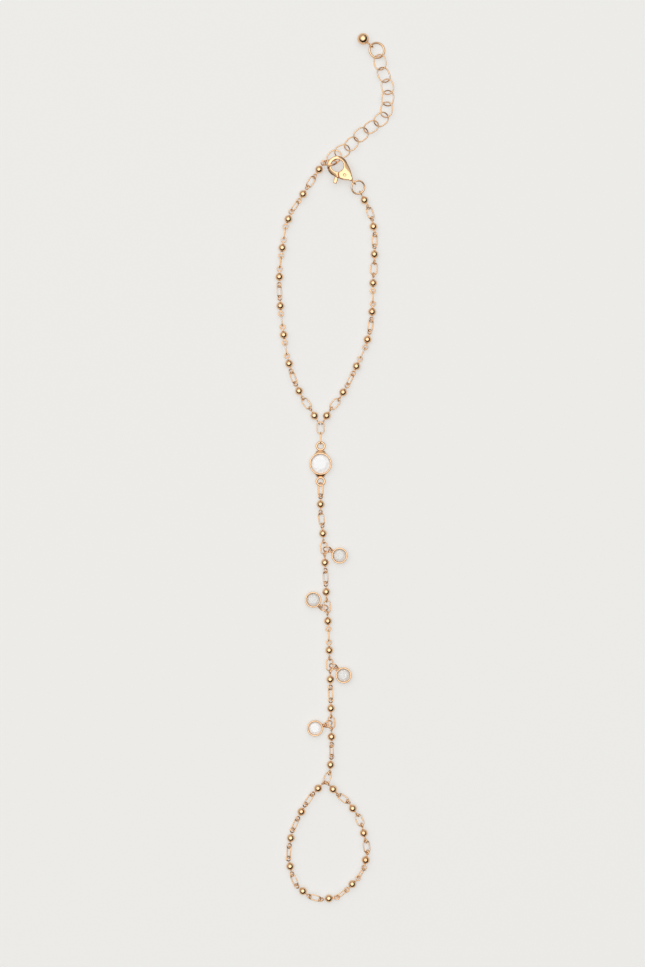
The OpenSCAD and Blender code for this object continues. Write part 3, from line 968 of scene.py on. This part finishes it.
@dataclass
class Connector:
    """The connector between wrist loop and hand chain: a rimmed stone with a soldered loop at each end.

    Attributes:
        diameter: the rim's outer diameter.
        loop: the outer diameter of the loops.
        loop_wire: the wire of the loops.
        neck: the distance from the rim to a loop.
        neck_width: how wide a strap is at its loop.
        strap_width: how wide it is at the rim, as a share of the rim's diameter.
        strap_root: where it starts, as a share of the rim's radius.
        strap_bend: where it begins to thin, as a share of the rim's radius.
        strap_thinning: what stays of its height at the loop, as a share.
        strap_below: how far its faces lie inside the rim's.
        strap_lap: how far it laps over the loop's wire.
        strap_rounding: the radius of its long edges.
        edge: the radius of its other edges.
    """

    diameter: float = 6.7 * MM
    loop: float = 3 * MM
    loop_wire: float = 0.68 * MM
    neck: float = 0.45 * MM
    neck_width: float = 2.2 * MM
    strap_width: float = 0.8
    strap_root: float = 0.58
    strap_bend: float = 0.93
    strap_thinning: float = 0.35
    strap_below: float = 0.1 * MM
    strap_lap: float = 0.1 * MM
    strap_rounding: float = 0.5 * MM
    edge: float = 0.08 * MM

    def build(self, finishes: Finishes) -> None:
        """Builds rim, straps and loops as one soldered piece, and dresses the stone.

        Args:
            finishes: the object's finishes.
        """
        rim = ChannelRim(self.diameter)
        low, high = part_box("connector_setting")
        at = (low + high) / 2
        at.z = rim.height / 2
        reach = (self.diameter + self.loop) / 2 + self.neck
        parts = [rim.build(at)]
        for side in (-1, 1):
            loop = Wire(self.loop_wire, sides=16).ring(self.loop, steps=40, name="loop", soldered=True)
            loop.data.transform(Matrix.Translation(at + Vector((0, side * reach, BEAD_HEIGHT - at.z))))
            strap = self.strap(rim, reach, side)
            strap.data.transform(Matrix.Translation(at))
            parts += [loop, strap]
        finishes.gild(Bench.join(parts, "connector_rim_and_loops"), "connector_setting")
        # the stone lies square to the light and gets the crystal with the painted white reflection
        Finishes.dress(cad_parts["connector_stone"], finishes.white)

    def strap(self, rim: ChannelRim, reach: float, side: int) -> bpy.types.Object:
        """Shapes the strap between rim and loop: wide and hollow at the rim, narrow and thin at the loop.

        Args:
            rim: the rim that it is soldered to.
            reach: from the rim's middle to the loop's.
            side: 1 for the wrist's side, -1 for the hand's.

        Returns:
            The strap, with the rim's middle at the origin.
        """
        outer = self.diameter / 2
        start, end = self.strap_root * outer, outer + self.neck + self.strap_lap
        width = self.strap_width * self.diameter
        Bench.clear()
        bpy.ops.mesh.primitive_cube_add(size=1, location=(0, (start + end) / 2, 0))
        strap = bpy.context.object
        strap.scale = (width, end - start, rim.height - 2 * self.strap_below)
        bpy.ops.object.transform_apply(location=True, scale=True)
        Bench.pick(strap, lambda p: p.y > end - HAIR)
        bpy.ops.transform.resize(value=(self.neck_width / width, 1, 1), center_override=(0, 0, 0))
        bpy.ops.mesh.select_all(action="SELECT")
        bpy.ops.mesh.bisect(plane_co=(0, self.strap_bend * outer, 0), plane_no=(0, 1, 0))
        Bench.pick(strap, lambda p: p.y > end - HAIR)
        bpy.ops.transform.resize(value=(1, 1, self.strap_thinning), center_override=(0, 0, 0))
        Bench.pick(strap, lambda p: abs(p.z) > HAIR and abs(p.x) > HAIR, Element.EDGE)
        bpy.ops.mesh.bevel(offset=self.strap_rounding, segments=3)
        strap = Bench.take("strap")
        for radius, middle in ((rim.groove_radius, 0), ((self.loop - self.loop_wire) / 2, reach)):
            Bench.bore(strap, radius, 4 * rim.height, Vector((0, middle, 0)))
        Bench.finish_with(strap, "BEVEL", width=self.edge, segments=3, limit_method="ANGLE",
                          angle_limit=math.radians(50))
        strap.data.transform(Matrix.Diagonal((1, side, 1, 1)))
        return Bench.take("strap")


@dataclass
class StoneDrop:
    """A drop: a round stone in a rim that hangs by a small soldered loop.

    Attributes:
        number: which of the drops it is.
        white: True if its stone lies square to the light, so that it gets the painted white reflection.
        diameter: the rim's outer diameter.
        loop: the loop's outer diameter.
        loop_wire: the loop's wire.
        sink: how far the loop is sunk into the rim.
    """

    number: int
    white: bool
    diameter: float = 4.8 * MM
    loop: float = 1.7 * MM
    loop_wire: float = 0.4 * MM
    sink: float = 0.32 * MM

    def build(self, finishes: Finishes) -> None:
        """Builds the rim about the stone, turns the loop as the solid's is turned, and dresses the stone.

        Args:
            finishes: the object's finishes.
        """
        node = f"drop_setting_{self.number}"
        stone = f"drop_stone_{self.number}"
        rim = ChannelRim(self.diameter, around=56)
        low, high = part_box(stone)
        at = (low + high) / 2
        at.z = rim.height / 2
        loop = self.hung_loop(at, CadNode(node).triangles())
        Bench.bore(loop, rim.groove_radius, 4 * rim.height, at, sides=48)
        finishes.gild(Bench.join([rim.build(at), loop], f"drop_rim_{self.number}"), node)
        # a stone that lies square to the light gets the crystal with the stronger painted white reflection
        Finishes.dress(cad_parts[stone], finishes.white if self.white else finishes.clear)

    def hung_loop(self, at: Vector, surface: np.ndarray) -> bpy.types.Object:
        """Bends the loop where the solid's loop lies outside the rim.

        Args:
            at: the rim's middle.
            surface: the triangles of the solid rim with its loop.

        Returns:
            The loop.
        """
        away = surface.mean(1) - np.array(at)
        past_rim = self.diameter / 2 + 0.05 * MM
        outside = np.linalg.norm(away[:, :2], axis=1) > past_rim
        ahead = Vector(away[outside].mean(0)).normalized()
        ahead.z = 0
        reach = (self.diameter + self.loop) / 2 - self.sink
        loop = Wire(self.loop_wire, sides=12).ring(self.loop, steps=28, name="loop", soldered=True)
        normal = Lie.of(surface[outside]).normal
        loop.data.transform(frame_matrix(at + reach * ahead.normalized(), ahead, normal))
        return loop


@dataclass
class LobsterClasp:
    """The clasp: a cast body and lever with rounded, polished edges, and the rivet that joins them.

    Attributes:
        grain: how fine the mesh of the polished castings is.
        softening: how many passes of smoothing round their edges.
        swell: how far their faces then grow, to make up for what smoothing took.
        rivet_edge: the radius of the rivet's edges.
    """

    grain: float = 0.07 * MM
    softening: int = 75
    swell: float = 0.09 * MM
    rivet_edge: float = 0.08 * MM

    def build(self, finishes: Finishes) -> None:
        """Rounds a copy of the body and of the lever, and turns the rivet.

        Args:
            finishes: the object's finishes.
        """
        finishes.gild(self.polished("clasp_body", "clasp_hook"), "clasp_body")
        finishes.gild(self.polished("clasp_lever", "clasp_thumb_lever"), "clasp_lever", Body.LEVER)
        low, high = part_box("clasp_rivet")
        centre, size = (low + high) / 2, high - low
        Bench.clear()
        bpy.ops.mesh.primitive_cylinder_add(vertices=28, radius=size.x / 2, depth=size.z, location=centre)
        bpy.ops.object.transform_apply(location=True)
        Bench.pick(bpy.context.object, lambda p: abs(p.z - centre.z) > size.z / 2 - HAIR, Element.FACE)
        bpy.ops.mesh.bevel(offset=self.rivet_edge, segments=3)
        finishes.gild(Bench.take("clasp_pivot_rivet"), "clasp_rivet")

    def polished(self, node: str, name: str) -> bpy.types.Object:
        """Makes a copy of a cast solid with its edges rounded by polishing.

        Args:
            node: the CAD node.
            name: the piece's name.

        Returns:
            The rounded copy.
        """
        Bench.hold(CadNode(node).free_copy())
        cast = Bench.take(name)
        Bench.finish_with(cast, "REMESH", mode="VOXEL", voxel_size=self.grain, use_smooth_shade=True)
        Bench.finish_with(cast, "SMOOTH", factor=0.5, iterations=self.softening)
        Bench.finish_with(cast, "DISPLACE", strength=self.swell, mid_level=0.0)
        Bench.hold(cast)
        bpy.ops.object.shade_smooth()
        return cast


@dataclass
class TailBall:
    """The polished ball at the extender's end, on a short neck with an eye.

    Attributes:
        diameter: the ball's diameter.
        eye: the eye's outer diameter.
        wire: the eye's wire.
        neck: the distance from the ball to the eye.
        neck_wire: the neck's diameter.
        neck_lap: how far the neck runs into the ball and into the eye.
        boss: how far the ball is drawn out under the neck.
    """

    diameter: float = 3.5 * MM
    eye: float = 2.1 * MM
    wire: float = 0.46 * MM
    neck: float = 0.3 * MM
    neck_wire: float = 0.598 * MM
    neck_lap: float = 0.15 * MM
    boss: float = 0.1 * MM

    def build(self, finishes: Finishes) -> None:
        """Builds ball, neck and eye as one piece along the solid's own axis.

        Args:
            finishes: the object's finishes.
        """
        lie = CadNode("tail_ball").lie()
        points = lie.triangles.reshape(-1, 3) - np.array(lie.centre)
        widest = np.linalg.norm(points @ lie.axes[1:].T, axis=1).argmax()
        side = 1 if points[widest] @ lie.axes[0] > 0 else -1
        ahead = side * lie.ahead
        past_ball = 0.3 * lie.size[0]
        eye_normal = lie.beyond(past_ball, -side).normal
        ball_at = lie.centre + ahead * (lie.size[0] - self.diameter) / 2
        neck_at = ball_at - (self.diameter + self.neck) / 2 * ahead
        eye_at = ball_at - ((self.diameter + self.eye) / 2 + self.neck) * ahead
        Bench.clear()
        bpy.ops.mesh.primitive_uv_sphere_add(segments=48, ring_count=28, radius=self.diameter / 2)
        pole = 0.49 * self.diameter
        Bench.pick(bpy.context.object, lambda p: p.z > pole, Element.FACE)
        bpy.ops.mesh.extrude_region_move(TRANSFORM_OT_translate={"value": (0, 0, self.boss)})
        ball = Bench.take("ball")
        ball.data.transform(frame_matrix(ball_at, Vector((0, 0, 1)).cross(ahead), -ahead))
        eye = Wire(self.wire, sides=14).ring(self.eye, steps=36, name="eye", soldered=True)
        eye.data.transform(frame_matrix(eye_at, ahead, eye_normal))
        neck = Wire(self.neck_wire, sides=14).pin(self.neck / 2 + self.neck_lap, "neck")
        neck.data.transform(frame_matrix(neck_at, ahead, eye_normal))
        finishes.gild(Bench.join([ball, eye, neck], "extender_end_ball"), "tail_ball")


@dataclass(frozen=True)
class Softbox:
    """The square softbox that hangs over the bracelet and faces it. It makes the beads' bright centres.

    Attributes:
        at: where it hangs, in metres.
        side: its side, in metres.
        watts: its power.
        colour: its colour as an sRGB hex value.
    """

    at: tuple[float, float, float] = (-0.1, 0.12, 1.2)
    side: float = 1.6
    watts: float = 9.6
    colour: str = "#FFFFFF"

    def hang(self) -> None:
        """Adds it to the scene."""
        light = bpy.data.lights.new("overhead_softbox", "AREA")
        light.size = self.side
        light.energy = self.watts
        light.color = linear(self.colour)[:3]
        lamp = bpy.data.objects.new("overhead_softbox", light)
        lamp.location = self.at
        lamp.rotation_euler = (-Vector(self.at)).to_track_quat("-Z", "Y").to_euler()
        bpy.context.scene.collection.objects.link(lamp)


@dataclass(frozen=True)
class StudioTent:
    """A pale tent over the table, dark at table height as a studio is, so that the gold has dark bands.

    Attributes:
        colour: its colour as an sRGB hex value.
        horizon: its strength at table height.
        wall: its strength higher up.
        rise: the heights, as sines of the angle above the table, between which it brightens.
        lean: the tent's own upward direction.
    """

    colour: str = "#FAF8F4"
    horizon: float = 0.01
    wall: float = 0.8
    rise: tuple[float, float] = (0.38, 0.7)
    lean: tuple[float, float, float] = (-0.2, 0.3, 0.93)

    def pitch(self) -> None:
        """Makes it the scene's world."""
        world = bpy.data.worlds.new("studio_tent")
        world.use_nodes = True
        direction = add_node(world, "ShaderNodeTexCoord").outputs["Generated"]
        height = add_node(world, "ShaderNodeVectorMath", {"operation": "DOT_PRODUCT"}, {"Vector": direction})
        height.inputs[1].default_value = self.lean
        strength = add_node(world, "ShaderNodeMapRange",
                            {"interpolation_type": "SMOOTHSTEP", "From Min": self.rise[0],
                             "From Max": self.rise[1], "To Min": self.horizon, "To Max": self.wall},
                            {"Value": height.outputs["Value"]})
        background = world.node_tree.nodes["Background"]
        background.inputs["Color"].default_value = linear(self.colour)
        world.node_tree.links.new(strength.outputs["Result"], background.inputs["Strength"])
        bpy.context.scene.world = world


@dataclass
class Studio:
    """The paper, the soft light, the tent and the camera that looks straight down.

    Attributes:
        picture_height: what the long side of the picture covers at the beads' height.
        aim: the point under the middle of the picture, in the row frame.
        lens: the lens, in millimetres.
        sensor: the long side of the sensor, in millimetres.
        paper_side: the side of the paper, in metres.
        sweep: how high its border is turned up, in metres, so that low views see paper behind the bracelet.
    """

    picture_height: float = 290.1 * MM
    aim: tuple[float, float] = (-3.71 * MM, -4.69 * MM)
    lens: float = 100.0
    sensor: float = 36.0
    paper_side: float = 8.0
    sweep: float = 0.5

    def build(self, paper: bpy.types.Material) -> None:
        """Sets up paper, light, tent and camera.

        Args:
            paper: the paper's material.
        """
        floor = self.floor()
        Finishes.dress(floor, paper)
        Softbox().hang()
        StudioTent().pitch()
        self.camera()

    def floor(self) -> bpy.types.Object:
        """Lays the paper flat, with its border turned up in a soft bend.

        Returns:
            The paper.
        """
        Bench.clear()
        bpy.ops.mesh.primitive_cube_add(size=1, location=(0, 0, self.sweep / 2))
        floor = bpy.context.object
        floor.name = "paper_floor"
        floor.scale = (self.paper_side, self.paper_side, self.sweep)
        bpy.ops.object.transform_apply(location=True, scale=True)
        Bench.pick(floor, lambda p: p.z > self.sweep - HAIR, Element.FACE)
        bpy.ops.mesh.delete(type="FACE")
        Bench.pick(floor, lambda p: p.z < HAIR, Element.EDGE)
        bend = 0.8 * self.sweep
        bpy.ops.mesh.bevel(offset=bend, segments=10)
        bpy.ops.mesh.select_all(action="SELECT")
        bpy.ops.mesh.normals_make_consistent(inside=True)
        bpy.ops.object.mode_set(mode="OBJECT")
        bpy.ops.object.shade_smooth()
        return floor

    def camera(self) -> None:
        """Hangs the camera over the bracelet, looking straight down."""
        data = bpy.data.cameras.new("camera")
        data.lens = self.lens
        data.sensor_width = self.sensor
        camera = bpy.data.objects.new("camera", data)
        height = self.lens / self.sensor * self.picture_height
        camera.location = (*self.aim, height + BEAD_HEIGHT)
        bpy.context.scene.collection.objects.link(camera)
        bpy.context.scene.camera = camera


def main() -> None:
    """Builds the bracelet piece by piece and sets it in the studio."""
    logging.basicConfig(level=logging.INFO, format="%(name)s: %(message)s")
    finishes = Finishes()
    patterns = Patterns.build()
    for node, name in (("wrist_chain_left", "wrist_beads_left"), ("wrist_chain_right", "wrist_beads_right"),
                       ("hand_chain", "hand_beads"), ("finger_chain", "finger_beads")):
        BeadStrand(node, name).build(finishes, patterns)
    SingleRings().build(finishes, patterns)
    patterns.discard()
    ExtenderChain().build(finishes)
    Connector().build(finishes)
    for number in DROPS:
        StoneDrop(number, white=number == WHITE_DROP).build(finishes)
    LobsterClasp().build(finishes)
    TailBall().build(finishes)
    Studio().build(finishes.paper)
    bpy.context.scene.view_settings.view_transform = "Standard"


if __name__ == "__main__":
    main()
